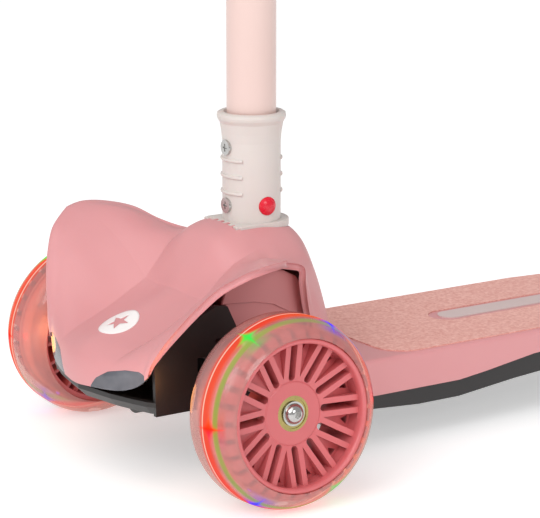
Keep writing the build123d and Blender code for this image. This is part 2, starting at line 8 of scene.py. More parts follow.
# %% Load the parts
import bpy
import bmesh
import math
import numpy as np
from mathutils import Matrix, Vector
from mathutils.bvhtree import BVHTree


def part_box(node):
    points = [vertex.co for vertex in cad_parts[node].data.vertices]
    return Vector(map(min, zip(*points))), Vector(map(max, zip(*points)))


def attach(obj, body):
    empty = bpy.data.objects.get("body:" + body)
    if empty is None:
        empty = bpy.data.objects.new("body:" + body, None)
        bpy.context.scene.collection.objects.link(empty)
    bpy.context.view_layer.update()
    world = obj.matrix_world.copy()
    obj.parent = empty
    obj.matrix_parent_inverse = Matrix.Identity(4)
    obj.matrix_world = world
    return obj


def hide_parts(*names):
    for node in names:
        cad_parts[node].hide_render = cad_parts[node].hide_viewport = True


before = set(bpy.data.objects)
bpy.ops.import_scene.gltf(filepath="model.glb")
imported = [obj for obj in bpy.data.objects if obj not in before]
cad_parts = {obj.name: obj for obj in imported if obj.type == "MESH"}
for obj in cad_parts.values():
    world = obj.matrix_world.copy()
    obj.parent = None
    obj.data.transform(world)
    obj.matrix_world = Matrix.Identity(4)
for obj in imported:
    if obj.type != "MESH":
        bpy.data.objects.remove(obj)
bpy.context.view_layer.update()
MM = 0.001

# %% [markdown]
# The front axle is the reference of the whole front end. Its place comes from the left rim's box, so
# nothing here has to be typed again if the scooter is made longer.

# %% Find the front axle and the column
rim_low, rim_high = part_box("left_rim")
AXLE_Y = (rim_low.y + rim_high.y) / 2
stem_low, stem_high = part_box("lower_stem")
STEM_Y = (stem_low.y + stem_high.y) / 2
print("front axle at", round(AXLE_Y / MM, 1), "mm, column at", round(STEM_Y / MM, 1), "mm")


def from_axle(points):
    """Points in millimetres, with y from the front axle, turned into metres in the frame."""
    return np.asarray(points, float) * MM + np.array([0, AXLE_Y, 0])


# %% [markdown]
# The camera stands low at the rider's front left, with a long lens, so the scooter is drawn with
# hardly any perspective. It looks along a turn round the scooter and a pitch down towards it, and its
# place is measured from the front axle.

# %% Camera
AZIMUTH, PITCH = math.radians(56.77), math.radians(13.35)
level = math.cos(PITCH)
towards = Vector((math.sin(AZIMUTH) * level, -math.cos(AZIMUTH) * level, math.sin(PITCH)))
camera = bpy.data.objects.new("camera", bpy.data.cameras.new("camera"))
camera.data.sensor_width = 36.0
camera.data.lens = 155.99
camera.data.clip_end = 60.0
camera.location = (1.2522, AXLE_Y - 0.7517, 0.4770)
camera.rotation_euler = towards.to_track_quat("Z", "Y").to_euler()
bpy.context.scene.collection.objects.link(camera)
bpy.context.scene.camera = camera
print("camera", [round(v, 3) for v in camera.location])

# %% [markdown]
# A product like this is shown in a white tent: light from everywhere, a large soft lamp from the front
# for shape, and a floor so bright that only the shadow under the wheels is left. A plain world colour
# gives the tent, and area lamps give the soft highlights on plastic and paint. An environment image could
# do the same, but lamps are easier to move until the highlights sit right.

# %% Light
bpy.context.scene.view_settings.view_transform = "Standard"
world = bpy.data.worlds.new("tent")
world.use_nodes = True
world.node_tree.nodes["Background"].inputs["Color"].default_value = (1, 1, 1, 1)
world.node_tree.nodes["Background"].inputs["Strength"].default_value = 0.5
bpy.context.scene.world = world


def lamp(name, kind, place, aim, power, size, colour=(1, 1, 1)):
    """A lamp at a place, turned to aim. Size is metres for an area lamp and degrees for a sun."""
    light = bpy.data.lights.new(name, kind)
    light.energy = power
    light.color = colour
    if kind == "AREA":
        light.shape = "DISK"
        light.size = size
    elif kind == "SUN":
        light.angle = math.radians(size)
    else:
        light.shadow_soft_size = size
    holder = bpy.data.objects.new(name, light)
    holder.location = place
    holder.rotation_euler = (Vector(place) - Vector(aim)).to_track_quat("Z", "Y").to_euler()
    bpy.context.scene.collection.objects.link(holder)


AIM = (0, AXLE_Y + 0.05, 0.12)
lamp("window", "SUN", (0.55, AXLE_Y - 1.3, 1.9), AIM, 1.25, 60)
lamp("key", "AREA", (0.85, AXLE_Y - 1.5, 1.3), AIM, 8, 0.9)
lamp("side", "AREA", (1.9, AXLE_Y - 0.1, 1.0), AIM, 7, 0.7)
# A little of the wheels' own light spills on the black moulding between them.
for side, x in (("left", 0.082), ("right", -0.082)):
    lamp(f"{side}_spill", "POINT", (x, AXLE_Y - 0.058, 0.07), AIM, 0.022, 0.012, (1.0, 0.42, 0.12))

# %% [markdown]
# Materials are built from shader nodes. One helper adds a node, sets its properties and joins its
# inputs, and one function turns the hex colours that people write into the linear light that Cycles uses.

# %% Node helper and colour function


def add(tree, kind, inputs=None, stops=None, **settings):
    """Adds a node. Inputs are values, or nodes and sockets to link; stops fill a colour ramp."""
    node = tree.nodes.new(kind)
    for name, value in settings.items():
        setattr(node, name, value)
    for name, value in (inputs or {}).items():
        free = [socket for socket in node.inputs if socket.enabled]
        target = free[name] if isinstance(name, int) else next(s for s in free if s.name == name)
        if isinstance(value, bpy.types.Node):
            value = next(s for s in value.outputs if s.enabled)
        if isinstance(value, bpy.types.NodeSocket):
            tree.links.new(value, target)
        else:
            target.default_value = value
    for i, (position, code) in enumerate(stops or []):
        elements = node.color_ramp.elements
        element = elements[i] if i < 2 else elements.new(position)
        element.position = position
        element.color = linear(code)
    return node


def linear(code):
    """An sRGB hex colour as a linear RGBA value."""
    parts = [int(code[i:i + 2], 16) / 255 for i in (1, 3, 5)]
    light = [p / 12.92 if p <= 0.04045 else ((p + 0.055) / 1.055) ** 2.4 for p in parts]
    return (*light, 1.0)


def blank_material(name):
    """A material with an empty node tree, and its object coordinates, which are metres in the frame."""
    material = bpy.data.materials.new(name)
    material.use_nodes = True
    material.node_tree.nodes.clear()
    return material, material.node_tree, add(material.node_tree, "ShaderNodeTexCoord").outputs["Object"]


print("linear pink", [round(v, 3) for v in linear("#DE9292")])

# %% [markdown]
# Most of the scooter is moulded plastic. A mould's steel is spark-eroded to a fine matt grain, so the
# plastic has a soft sheen, broken by pits a few tenths of a millimetre wide, and its colour drifts very
# slightly where the melt cooled at different speeds. The same recipe serves ABS, nylon and rubber, with
# their own gloss, grain and depth, so it is one function with those as its values.

# %% Moulded plastic and rubber


def moulded(name, light, dark, roughness, grain_mm, depth_mm, ior=1.5, coat=0.0, drift_mm=45.0, glow=0.0):
    material, tree, place = blank_material(name)
    drift = add(tree, "ShaderNodeTexNoise", {"Vector": place, "Scale": 1 / (drift_mm * MM), "Detail": 2.0})
    colour = add(tree, "ShaderNodeMix", {"Factor": drift, "A": linear(light), "B": linear(dark)},
                 data_type="RGBA")
    grain = add(tree, "ShaderNodeTexNoise", {"Vector": place, "Scale": 1 / (grain_mm * MM), "Detail": 3.0})
    bump = add(tree, "ShaderNodeBump", {"Height": grain, "Distance": depth_mm * MM, "Strength": 0.6})
    gloss = add(tree, "ShaderNodeMapRange", {"Value": grain, "To Min": roughness - 0.05,
                                             "To Max": roughness + 0.06})
    shader = add(tree, "ShaderNodeBsdfPrincipled",
                 {"Base Color": colour, "Roughness": gloss, "IOR": ior, "Coat Weight": coat,
                  "Coat Roughness": 0.12, "Normal": bump, "Subsurface Weight": glow,
                  "Subsurface Scale": 0.002})
    add(tree, "ShaderNodeOutputMaterial", {"Surface": shader})
    return material


# Satin ABS: dusty pink shells, with a soft wide highlight.
PINK_ABS = moulded("satin_moulded_abs_pink", "#D79597", "#D28F91", 0.42, 0.35, 0.012, glow=0.04)
INNER_ABS = moulded("satin_moulded_abs_inner", "#D48A8B", "#CE8485", 0.46, 0.35, 0.012)
# Nylon takes colour more strongly than ABS and lets a little light in, so the rims look deeper.
PINK_NYLON = moulded("moulded_nylon_rim", "#D36C6F", "#CB6467", 0.36, 0.4, 0.01, ior=1.53, glow=0.05)
PALE_NYLON = moulded("moulded_nylon_pale", "#D6CDC8", "#D0C6C0", 0.4, 0.3, 0.01, ior=1.53, glow=0.05)
# Black glass-filled nylon has a coarse leather-like grain and a greyish sheen.
BLACK_NYLON = moulded("grained_nylon_black", "#221F1F", "#1B1919", 0.42, 0.7, 0.03, ior=1.53)
# The strip in the mat is the same satin ABS in greyish pink, set flush so that it stays clean.
INLAY = moulded("satin_moulded_inlay", "#D6C0BD", "#D0B9B6", 0.4, 0.3, 0.01)
# The button comes from a polished mould, so it mirrors the lamps in a small bright spot.
RED_BUTTON = moulded("gloss_moulded_abs_red", "#E00A2E", "#D40626", 0.26, 2.0, 0.004, coat=0.2)
# Pad printing lays down a thin, dense ink that dries almost smooth.
WHITE_PRINT = moulded("pad_printed_white", "#F4F0EE", "#EEE9E7", 0.35, 0.3, 0.004)
# Rubber is filled with carbon black: a dull grey-black with hardly any highlight.
RUBBER = moulded("moulded_rubber_black", "#2A2828", "#232121", 0.62, 0.3, 0.01, ior=1.52)
# The grips are a soft rubbery plastic, with a dry, velvety look.
GRIP_RUBBER = moulded("soft_moulded_grip", "#D28485", "#CB7C7D", 0.55, 0.25, 0.02, ior=1.5, glow=0.05)
# Cast polyurethane is cloudy, and light goes a little way in before it comes back.
REAR_PU = moulded("cast_polyurethane_rear", "#E0A092", "#DA9688", 0.3, 1.2, 0.01, ior=1.5, glow=0.2)
print("moulded finishes:", len(bpy.data.materials))

# %% [markdown]
# The deck's mat is a rubber sheet faced with fine grit, like soft sandpaper. Real grit is about half a
# millimetre, too fine to see here, so it is drawn at 1.6 mm: a cell pattern raises each grain, and a
# second pattern makes some grains paler, which gives the sandy speckle. Real grains of mesh would look no
# better from standing height and would cost millions of faces.

# %% Grit-faced mat
GRIT, tree, place = blank_material("grit_faced_rubber")
grains = add(tree, "ShaderNodeTexVoronoi", {"Vector": place, "Scale": 1 / (1.6 * MM)})
speckle = add(tree, "ShaderNodeTexNoise", {"Vector": place, "Scale": 1 / (2.2 * MM), "Detail": 4.0})
tone = add(tree, "ShaderNodeValToRGB", {"Fac": speckle}, stops=[(0.36, "#DC968A"), (0.66, "#F0B8AC")])
bump = add(tree, "ShaderNodeBump", {"Height": grains, "Distance": 0.35 * MM, "Strength": 0.7}, invert=True)
shader = add(tree, "ShaderNodeBsdfPrincipled", {"Base Color": tone, "Roughness": 0.78, "IOR": 1.5,
                                                "Normal": bump, "Sheen Weight": 0.15})
add(tree, "ShaderNodeOutputMaterial", {"Surface": shader})
print("mat finish nodes:", len(tree.nodes))

# %% [markdown]
# The tubes are steel with a satin powder coat. Powder melts into a skin with a faint orange peel, about
# two millimetres from crest to crest, under a smooth clear gloss. The peel is far too shallow to model,
# so bump gives it, and the shader's coat gives the gloss.

# %% Powder-coated tube


def powder_coat(name, light, dark, roughness):
    material, tree, place = blank_material(name)
    peel = add(tree, "ShaderNodeTexNoise", {"Vector": place, "Scale": 1 / (2.0 * MM), "Detail": 1.0})
    fade = add(tree, "ShaderNodeTexNoise", {"Vector": place, "Scale": 1 / (60 * MM), "Detail": 1.0})
    colour = add(tree, "ShaderNodeMix", {"Factor": fade, "A": linear(light), "B": linear(dark)},
                 data_type="RGBA")
    bump = add(tree, "ShaderNodeBump", {"Height": peel, "Distance": 0.02 * MM, "Strength": 0.4})
    shader = add(tree, "ShaderNodeBsdfPrincipled",
                 {"Base Color": colour, "Roughness": roughness, "IOR": 1.5, "Coat Weight": 0.25,
                  "Coat Roughness": 0.2, "Normal": bump})
    add(tree, "ShaderNodeOutputMaterial", {"Surface": shader})
    return material


PINK_TUBE = powder_coat("powder_coat_pale_pink", "#E0C5BE", "#DBBEB6", 0.34)
BLACK_STEEL = powder_coat("powder_coat_black", "#2B2A2B", "#232223", 0.4)
print("powder coats: 2")

# %% [markdown]
# Bolts and bearings are steel. Machining leaves fine marks, and the yellow zinc plating on the bearings
# shifts between straw and green. A metal's colour is its reflection, so metallic is 1 and the base
# colour is the tint. One noise pattern tints the plating, and a finer one roughens it.

# %% Plated and polished steel


def steel(name, light, dark, roughness):
    material, tree, place = blank_material(name)
    plating = add(tree, "ShaderNodeTexNoise", {"Vector": place, "Scale": 1 / (6 * MM), "Detail": 3.0})
    colour = add(tree, "ShaderNodeMix", {"Factor": plating, "A": linear(light), "B": linear(dark)},
                 data_type="RGBA")
    marks = add(tree, "ShaderNodeTexNoise", {"Vector": place, "Scale": 1 / (0.5 * MM), "Detail": 2.0})
    bump = add(tree, "ShaderNodeBump", {"Height": marks, "Distance": 0.01 * MM, "Strength": 0.3})
    gloss = add(tree, "ShaderNodeMapRange", {"Value": marks, "To Min": roughness - 0.06,
                                             "To Max": roughness + 0.08})
    shader = add(tree, "ShaderNodeBsdfPrincipled", {"Base Color": colour, "Metallic": 1.0,
                                                    "Roughness": gloss, "Normal": bump})
    add(tree, "ShaderNodeOutputMaterial", {"Surface": shader})
    return material


ZINC = steel("yellow_zinc_plated_steel", "#BFA96A", "#8E8A5A", 0.24)
BRIGHT = steel("polished_steel", "#C9C8C6", "#AFAEAC", 0.2)
print("steels: 2")

# %% [markdown]
# The lamp windows are smoked clear polycarbonate. Real refraction through a thin dark shell costs many
# samples and shows little, so a share of plain see-through is mixed with a dark glossy skin.

# %% Smoked lens
LENS, tree, place = blank_material("smoked_polycarbonate")
flow = add(tree, "ShaderNodeTexNoise", {"Vector": place, "Scale": 1 / (9 * MM), "Detail": 1.0})
colour = add(tree, "ShaderNodeMix", {"Factor": flow, "A": linear("#8E8E96"), "B": linear("#55555E")},
             data_type="RGBA")
skin = add(tree, "ShaderNodeBsdfPrincipled", {"Base Color": colour, "Roughness": 0.12, "IOR": 1.585,
                                              "Coat Weight": 0.6, "Coat Roughness": 0.05})
clear = add(tree, "ShaderNodeBsdfTransparent", {"Color": linear("#9A9AA2")})
both = add(tree, "ShaderNodeMixShader", {0: 0.35, 1: skin, 2: clear})
add(tree, "ShaderNodeOutputMaterial", {"Surface": both})
print("lens finish nodes:", len(tree.nodes))

# %% [markdown]
# Both front wheels lean a little towards the column, so that the scooter stands firmly. Their finish and
# their new pieces are laid out from the axle, so its place and direction are found first.

# %% Wheel geometry
CAMBER = math.radians(4.0)
LAMPS = 6
WHEEL_CENTRES = {}
for side in ("left", "right"):
    low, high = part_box(f"{side}_tyre")
    WHEEL_CENTRES[side] = (low + high) / 2
print("wheel centres in mm:", {k: [round(c / MM, 1) for c in v] for k, v in WHEEL_CENTRES.items()})


def wheel_axes(side):
    """The axle's direction away from the scooter, and the two directions across it: back and up."""
    sign = 1 if side == "left" else -1
    out = Vector((sign * math.cos(CAMBER), 0, math.sin(CAMBER)))
    back = Vector((0, 1, 0))
    up = Vector((-sign * math.sin(CAMBER), 0, math.cos(CAMBER)))
    return out, back, up


def wheel_spoke(side, angle):
    """The direction from a wheel's axle to its rim, at an angle from the back over the top."""
    _, back, up = wheel_axes(side)
    return back * math.cos(angle) + up * math.sin(angle)


# %% [markdown]
# A front tyre is clear polyurethane cast over the core, and it is lit from inside by six lamps: red,
# blue and green, sixty degrees apart. The light runs round the tyre in bands, a red-orange one beside
# the tread and a yellow-green one further in, and it is strongest at each lamp. A thin white line in the
# red-orange band is a painted highlight, and the four-pointed glint at each lamp is painted too.
# Tracing that light through clear plastic would take very many samples. So the pattern is worked out
# from the distance to the wheel's middle plane and the angle round its axle, and it turns with the wheel.

# %% Lit cast polyurethane
RED, BLUE, GREEN = "#FF2A10", "#4040FF", "#30E048"
LAMP_COLOURS = [RED, BLUE, GREEN]
TREAD_RADIUS = 57.0
GLINT_REACH = 10.0
# Each band of light in mm: how far its middle is from the wheel's plane, and half its width.
# The line band is a painted highlight, laid on as white light.
BANDS = {"tread": (6.4, 6.6), "line": (4.4, 0.9), "inner": (14.2, 2.2), "haze": (15.0, 9.0)}
# Colours round each band, as a share of a turn from the back of the wheel over its top.
TREAD_STOPS = [(0.0, "#FF3A12"), (1.0, "#FF3A12"), (0.12, "#FF6A24"), (0.3, "#FF3A12"), (0.45, "#FF4A1A"),
               (0.6, "#FF3010"), (0.75, "#F0504A"), (0.88, "#FF7830")]
INNER_STOPS = [(0.0, "#8A8A90"), (1.0, "#8A8A90"), (0.1, "#8888C8"), (0.2, "#98A060"), (0.36, "#90B840"),
               (0.5, "#84B438"), (0.64, "#8CA850"), (0.8, "#98B050")]
LAMP_STOPS = [(0.0, RED), (1.0, RED)] + [(k / LAMPS, LAMP_COLOURS[k % 3]) for k in range(1, LAMPS)]


def lit_polyurethane(side):
    material, tree, place = blank_material(f"lit_cast_polyurethane_{side}")
    out, back, up = wheel_axes(side)
    local = add(tree, "ShaderNodeVectorMath", {0: place, 1: WHEEL_CENTRES[side]}, operation="SUBTRACT")
    parts = []
    for direction in (out, back, up):
        part = add(tree, "ShaderNodeVectorMath", {0: local, 1: direction / MM}, operation="DOT_PRODUCT")
        parts.append(part.outputs["Value"])
    reach = parts[0]
    across = add(tree, "ShaderNodeCombineXYZ", {"X": parts[1], "Y": parts[2]})
    radius = add(tree, "ShaderNodeVectorMath", {0: across}, operation="LENGTH").outputs["Value"]
    angle = add(tree, "ShaderNodeMath", {0: parts[2], 1: parts[1]}, operation="ARCTAN2")
    turn = add(tree, "ShaderNodeMath", {0: angle, 1: 1 / math.tau}, operation="MULTIPLY")
    turn = add(tree, "ShaderNodeMath", {0: turn}, operation="FRACT")
    wave = add(tree, "ShaderNodeMath", {0: turn, 1: LAMPS}, operation="MULTIPLY")
    wave = add(tree, "ShaderNodeMath", {0: wave, 1: 0.5}, operation="PINGPONG")
    from_lamp = add(tree, "ShaderNodeMath", {0: wave, 1: math.tau / LAMPS * TREAD_RADIUS},
                    operation="MULTIPLY")
    skin_only = add(tree, "ShaderNodeMapRange", {"Value": radius, "From Min": 52.5, "From Max": 54.5})

    def band(middle, half_width):
        """A soft stripe on the tyre's outside: 1 at its middle distance from the wheel's plane."""
        off = add(tree, "ShaderNodeMath", {0: reach, 1: middle}, operation="SUBTRACT")
        off = add(tree, "ShaderNodeMath", {0: off}, operation="ABSOLUTE")
        edge = add(tree, "ShaderNodeMapRange", {"Value": off, "From Min": half_width * 0.3,
                                                "From Max": half_width, "To Min": 1.0, "To Max": 0.0},
                   interpolation_type="SMOOTHSTEP")
        return add(tree, "ShaderNodeMath", {0: edge, 1: skin_only}, operation="MULTIPLY")

    tread, line, inner, haze = [band(*size) for size in BANDS.values()]
    # A lamp's glint is painted on the tyre as a four-pointed star: the square roots of the distances
    # along and across add up.
    roots = []
    for distance in (from_lamp, add(tree, "ShaderNodeMath", {0: reach, 1: GLINT_REACH},
                                    operation="SUBTRACT")):
        size = add(tree, "ShaderNodeMath", {0: distance}, operation="ABSOLUTE")
        roots.append(add(tree, "ShaderNodeMath", {0: size, 1: 0.5}, operation="POWER"))
    star = add(tree, "ShaderNodeMath", {0: roots[0], 1: roots[1]}, operation="ADD")
    star = add(tree, "ShaderNodeMapRange", {"Value": star, "From Min": 1.9, "From Max": 3.9, "To Min": 1.0,
                                            "To Max": 0.0}, interpolation_type="SMOOTHSTEP")
    spot = add(tree, "ShaderNodeMath", {0: star, 1: skin_only}, operation="MULTIPLY")
    halo = add(tree, "ShaderNodeMapRange", {"Value": from_lamp, "From Max": 16.0, "To Min": 1.0,
                                            "To Max": 0.0}, interpolation_type="SMOOTHSTEP")
    ring = add(tree, "ShaderNodeMath", {0: halo, 1: haze}, operation="MULTIPLY")
    lamp_colour = add(tree, "ShaderNodeValToRGB", {"Fac": turn}, stops=LAMP_STOPS)
    tread_colour = add(tree, "ShaderNodeValToRGB", {"Fac": turn}, stops=TREAD_STOPS)
    inner_colour = add(tree, "ShaderNodeValToRGB", {"Fac": turn}, stops=INNER_STOPS)
    cloud = add(tree, "ShaderNodeTexNoise", {"Vector": place, "Scale": 1 / (14 * MM), "Detail": 2.0})
    body = add(tree, "ShaderNodeMix", {"Factor": cloud, "A": linear("#E0AEAC"), "B": linear("#D89C98")},
               data_type="RGBA")
    skin = add(tree, "ShaderNodeBsdfPrincipled", {"Base Color": body, "Roughness": 0.14, "IOR": 1.5,
                                                  "Coat Weight": 0.5, "Coat Roughness": 0.06})
    clear = add(tree, "ShaderNodeBsdfTransparent", {"Color": linear("#F4D6CC")})
    whole = add(tree, "ShaderNodeMixShader", {0: 0.6, 1: skin, 2: clear})
    # Each band of light is laid over the clear body by its own amount; the white line is a painted
    # highlight.
    for colour, amount, share, power in ((lamp_colour, ring, 0.35, 1.0), (tread_colour, tread, 0.8, 1.0),
                                         (inner_colour, inner, 0.7, 1.0),
                                         (linear("#FFE4D0"), line, 0.7, 1.0),
                                         (lamp_colour, spot, 0.95, 1.25)):
        strength = add(tree, "ShaderNodeMath", {0: amount, 1: share}, operation="MULTIPLY")
        glow = add(tree, "ShaderNodeEmission", {"Color": colour, "Strength": power})
        whole = add(tree, "ShaderNodeMixShader", {0: strength, 1: whole, 2: glow})
    add(tree, "ShaderNodeOutputMaterial", {"Surface": whole})
    return material


LIT_TYRE = {side: lit_polyurethane(side) for side in ("left", "right")}
print("lit tyre nodes:", len(LIT_TYRE["left"].node_tree.nodes))

# %% [markdown]
# A lamp's own body is small and frosted, bright in its one colour, and the ring that carries the
# lamps is milky plastic that the lamps fill with warm light.

# %% Lamp and ring finishes


def glowing(name, code, strength):
    material, tree, place = blank_material(name)
    frost = add(tree, "ShaderNodeTexNoise", {"Vector": place, "Scale": 1 / (0.8 * MM), "Detail": 2.0})
    colour = add(tree, "ShaderNodeMix", {"Factor": frost, "A": linear(code), "B": linear("#FFFFFF")},
                 data_type="RGBA")
    bump = add(tree, "ShaderNodeBump", {"Height": frost, "Distance": 0.05 * MM})
    shader = add(tree, "ShaderNodeBsdfPrincipled", {"Base Color": colour, "Roughness": 0.4, "Normal": bump,
                                                    "Emission Color": linear(code),
                                                    "Emission Strength": strength})
    add(tree, "ShaderNodeOutputMaterial", {"Surface": shader})
    return material


LAMP_FINISH = [glowing(f"lit_lamp_{i}", code, 3.0) for i, code in enumerate(LAMP_COLOURS)]
RING_FINISH = glowing("milky_light_ring", "#FFB48C", 0.2)
print("lamp finishes:", len(LAMP_FINISH))

# %% [markdown]
# Each CAD part now gets its finish. Edges of real parts are never perfectly sharp, and the light that
# they catch is what makes a part look solid, so most hard parts also get a small rounded edge. A bevel
# modifier does that without touching the part's own mesh.

# %% Dress the CAD parts


def round_edges(piece, width_mm, segments, angle):
    """Rounds the edges where a piece turns by more than an angle in degrees."""
    bevel = piece.modifiers.new("edge", "BEVEL")
    bevel.width = width_mm * MM
    bevel.segments = segments
    bevel.limit_method = "ANGLE"
    bevel.angle_limit = math.radians(angle)
    return bevel


FINISH = {
    "deck": PINK_ABS, "steering_housing": INNER_ABS, "rear_brake": PINK_ABS, "left_rim": PINK_NYLON,
    "right_rim": PINK_NYLON, "rear_rim": PINK_NYLON, "deck_underframe": BLACK_NYLON,
    "front_chassis": BLACK_NYLON, "left_knuckle": BLACK_NYLON, "right_knuckle": BLACK_NYLON,
    "tie_rod": BLACK_STEEL, "height_clamp": PALE_NYLON, "clamp_lever": BLACK_NYLON,
    "stem_socket": INNER_ABS, "tee_joint": PALE_NYLON, "stem_guide_bush": BLACK_NYLON,
    "axle_beam": BLACK_STEEL, "stem_collar": PALE_NYLON, "collar_base_plate": PALE_NYLON,
    "lower_stem": PINK_TUBE, "upper_stem": PINK_TUBE, "handlebar": PINK_TUBE, "grip_mat": GRIT,
    "deck_inlay": INLAY, "left_tyre": LIT_TYRE["left"], "right_tyre": LIT_TYRE["right"],
    "rear_tyre": REAR_PU, "left_lamp_lens": LENS, "right_lamp_lens": LENS, "release_button": RED_BUTTON,
    "left_grip": GRIP_RUBBER, "right_grip": GRIP_RUBBER, "nose_badge": WHITE_PRINT,
    "front_cover": PINK_ABS, "left_light_ring": RING_FINISH, "right_light_ring": RING_FINISH,
    "left_bearings": ZINC, "right_bearings": ZINC, "rear_bearings": ZINC, "torsion_bushes": RUBBER,
    "stop_pads": RUBBER,
}
ROUNDED = {"stem_collar": 0.5, "collar_base_plate": 0.6, "deck": 0.6, "height_clamp": 0.8, "tee_joint": 0.8,
           "clamp_lever": 0.6, "front_chassis": 0.8, "deck_inlay": 0.3, "left_axle_bolt": 0.25,
           "right_axle_bolt": 0.25, "rear_axle_bolt": 0.5, "rear_brake": 0.6, "collar_screws": 0.2,
           "steering_housing": 0.6, "deck_underframe": 0.6, "left_rim": 0.35, "right_rim": 0.35,
           "rear_rim": 0.4, "axle_beam": 0.6}

for name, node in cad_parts.items():
    node.data.materials.clear()
    node.data.materials.append(FINISH.get(name, BRIGHT))
    if name in ROUNDED:
        round_edges(node, ROUNDED[name], 2, 38).harden_normals = True
print("dressed", len(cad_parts), "parts")

# %% [markdown]
# The front cover is the scooter's face: one moulded shell that rises from the nose over a hood, spreads
# into two wings over the wheels and climbs to the column. It could be sculpted, but a grid of chosen
# points with a smooth surface through them is exact and easy to change. Where the real one has a crease,
# the curve through a point is held tight.

# %% Cover grid
# Half of the outer surface in mm, from the middle line to the arch edge, in rows from nose to deck.
COVER_ROWS = [
    [(0, -78, 61), (16, -76.5, 62), (31, -73, 63), (46, -68.5, 65.5), (56, -64.5, 70), (63, -61.5, 77)],
    [(0, -78, 68), (16, -76.5, 69), (32, -72.5, 71), (47, -67.5, 75), (58, -63.5, 79), (66, -61, 84)],
    [(0, -75, 78), (16, -73, 78.5), (34, -68, 80), (50, -63, 86), (62, -60.5, 90), (70, -59, 91)],
    [(0, -67, 86.5), (16, -64, 86), (35, -58, 86), (54, -54, 96), (67, -54, 101), (76, -56, 100)],
    [(0, -56, 92), (17, -52, 91), (37, -44, 91), (60, -43, 106), (75, -46, 113), (85, -51, 112)],
    [(0, -42, 97.5), (18, -38, 96.5), (38, -31, 96.5), (65, -32, 116), (83, -37, 125), (94, -44.5, 124)],
    [(0, -24, 105), (19, -21, 103.5), (38, -18, 103.5), (69, -20, 125), (90, -26, 135), (104, -35, 137)],
    [(0, -6, 112.5), (19, -5, 111), (36, -5, 112), (68, -7, 132), (95, -12, 144), (113, -20, 146.5)],
    [(0, 5, 131), (18, 4.5, 128), (37, 6, 124), (67, 3, 138), (95, -2, 148), (114, -8, 149)],
    [(0, 15, 146), (19, 14, 143), (39, 16, 133), (62, 13, 139), (86, 10, 147), (108, 6, 148.5)],
    [(0, 28, 151.5), (20, 27, 149), (40, 26, 138), (58, 24, 138), (77, 22, 142.5), (95, 20, 145.5)],
    [(0, 42, 152), (20, 41, 150), (38, 38, 140.5), (51, 34, 136), (63, 31, 137), (76, 28.5, 139.5)],
    [(0, 56, 151.5), (20, 54, 149.5), (37, 50, 141), (48, 46, 136), (55, 43, 134.5), (61, 40, 134.5)],
    [(0, 71, 149), (20, 69, 146.5), (38, 64, 137), (48, 60, 130), (55, 57, 127), (60, 54, 130)],
    [(0, 81, 142), (20, 79, 139), (38, 73, 130), (49, 66, 121), (56, 60, 118), (60, 55.5, 119)],
    [(0, 89, 126), (20, 87, 123), (39, 79, 116), (50, 71, 108), (56, 64, 104), (60, 57.5, 105)],
    [(0, 95, 108), (20, 93, 105), (40, 84, 100), (51, 76, 93), (57, 69, 89), (60, 61, 90)],
    [(0, 99, 84), (20, 97, 82), (40, 89, 80), (51, 81, 76), (57, 74, 74), (60, 66, 74)],
    [(0, 100, 62.4), (20, 98, 62.4), (40, 90, 62.4), (51, 83, 62.4), (57, 76, 62.4), (60, 68, 62.4)],
]
STEPS = 9
CREASE_SLACK = 0.1


def through(points, steps, crease=()):
    """A smooth curve through points along the first axis, tighter at the creased ones."""
    padded = np.concatenate([2 * points[:1] - points[1:2], points, 2 * points[-1:] - points[-2:-1]])
    heading = (padded[2:] - padded[:-2]) / 2
    for row in crease:
        heading[row] *= CREASE_SLACK
    found = []
    for b, c, leave, arrive in zip(points, points[1:], heading, heading[1:]):
        for t in np.arange(steps) / steps:
            found.append(b * (2 * t ** 3 - 3 * t ** 2 + 1) + leave * (t ** 3 - 2 * t ** 2 + t)
                         + c * (3 * t ** 2 - 2 * t ** 3) + arrive * (t ** 3 - t ** 2))
    return np.array(found + [points[-1]])


half = np.array(COVER_ROWS, float)
mirrored = half[:, :0:-1] * np.array([-1, 1, 1])
grid = np.concatenate([mirrored, half], axis=1)
# The tower rises from the hood at the eighth row. The valleys between the hood and the wings are the
# third column from the middle, on both sides.
fine = through(grid, STEPS, crease=(7,))
fine = np.swapaxes(through(np.swapaxes(fine, 0, 1), STEPS, crease=(3, 7)), 0, 1)
print("cover grid", grid.shape, "made fine", fine.shape)

# %% [markdown]
# The grid is only a skin, and the real cover is a moulded wall. It ends along the wheel arches in a raised
# flange with a rolled lip, which keeps it stiff. Solidify would give one thickness with square edges, so
# the inner skin and the round of the lip are laid out point by point.

# %% Cover shell
WALL = 2.6
LIP = 4.4
LIP_REACH = 8
FLANGE_HEIGHT, FLANGE_REACH = 0.9, 6.0
EVENING_ROUNDS = 24


def skin_normals(points):
    """Outward directions, evened out along the rows so that the lip turns corners smoothly."""
    normal = np.cross(np.gradient(points, axis=1), np.gradient(points, axis=0))
    for _ in range(EVENING_ROUNDS):
        normal /= np.linalg.norm(normal, axis=2, keepdims=True)
        normal[1:-1] = (normal[:-2] + 2 * normal[1:-1] + normal[2:]) / 4
    return normal / np.linalg.norm(normal, axis=2, keepdims=True)


def eased(share):
    """A share from 0 to 1 that starts and ends softly."""
    share = np.clip(share, 0, 1)
    return share ** 2 * (3 - 2 * share)


def raised_edge(points, height, reach):
    """The same grid with its two side edges raised in a soft flange that is reach wide."""
    steps = np.linalg.norm(np.diff(points, axis=1), axis=2)
    from_left = np.concatenate([np.zeros((len(points), 1)), np.cumsum(steps, axis=1)], axis=1)
    inwards = np.minimum(from_left, from_left[:, -1:] - from_left) / reach
    return points + skin_normals(points) * (eased(1.5 - inwards) * height)[:, :, None]


